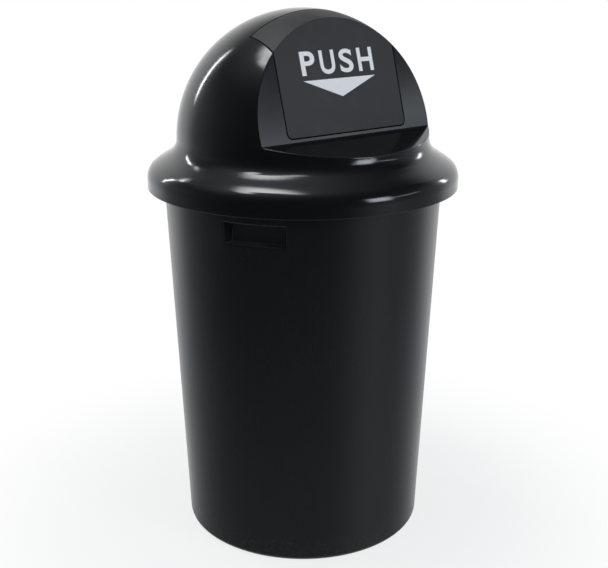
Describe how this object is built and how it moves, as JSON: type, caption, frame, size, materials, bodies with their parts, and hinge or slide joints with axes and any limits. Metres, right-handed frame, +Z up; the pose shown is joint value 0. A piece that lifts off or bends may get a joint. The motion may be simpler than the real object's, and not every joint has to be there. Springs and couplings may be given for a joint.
{
  "type": "push flap waste bin",
  "caption": "Round free-standing waste bin: tapered tub with finger pockets, lift-off dome lid with a leaning front and a sprung push flap that swings into the dome.",
  "frame": {"origin": "on the floor, under the middle of the tub", "axes": "+Z up, the push flap faces -Y, +X to the right seen from the front"},
  "size_m": [0.42, 0.42, 0.7193],
  "materials": {
    "tub_plastic": "satin moulded black",
    "lid_plastic": "glossy moulded black",
    "flap_plastic": "fine matte charcoal",
    "rod_steel": "drawn bright steel",
    "cap_plastic": "moulded black",
    "spring_steel": "drawn spring wire",
    "bumper_rubber": "soft matte rubber"
  },
  "bodies": {
    "tub": {"bin_tub": "tub_plastic"},
    "lid": {"lid_dome": "lid_plastic", "hinge_rod": "rod_steel", "rod_cap_left": "cap_plastic", "rod_cap_right": "cap_plastic", "return_spring_left": "spring_steel", "return_spring_right": "spring_steel"},
    "flap": {"push_flap": "flap_plastic", "flap_bumper_left": "bumper_rubber", "flap_bumper_right": "bumper_rubber"}
  },
  "joints": [
    {"name": "lid_lift", "type": "slide", "parent": "tub", "child": "lid", "axis": [0, 0, 1], "range_m": [0, 0.3]},
    {"name": "flap_swing", "type": "hinge", "parent": "lid", "child": "flap", "pos_m": [0, -0.027, 0.666], "axis": [1, 0, 0], "range_deg": [0, 60], "stiffness_Nm_per_rad": 0.115, "springref_deg": -40.11, "deforming": ["return_spring_left", "return_spring_right"]}
  ]
}
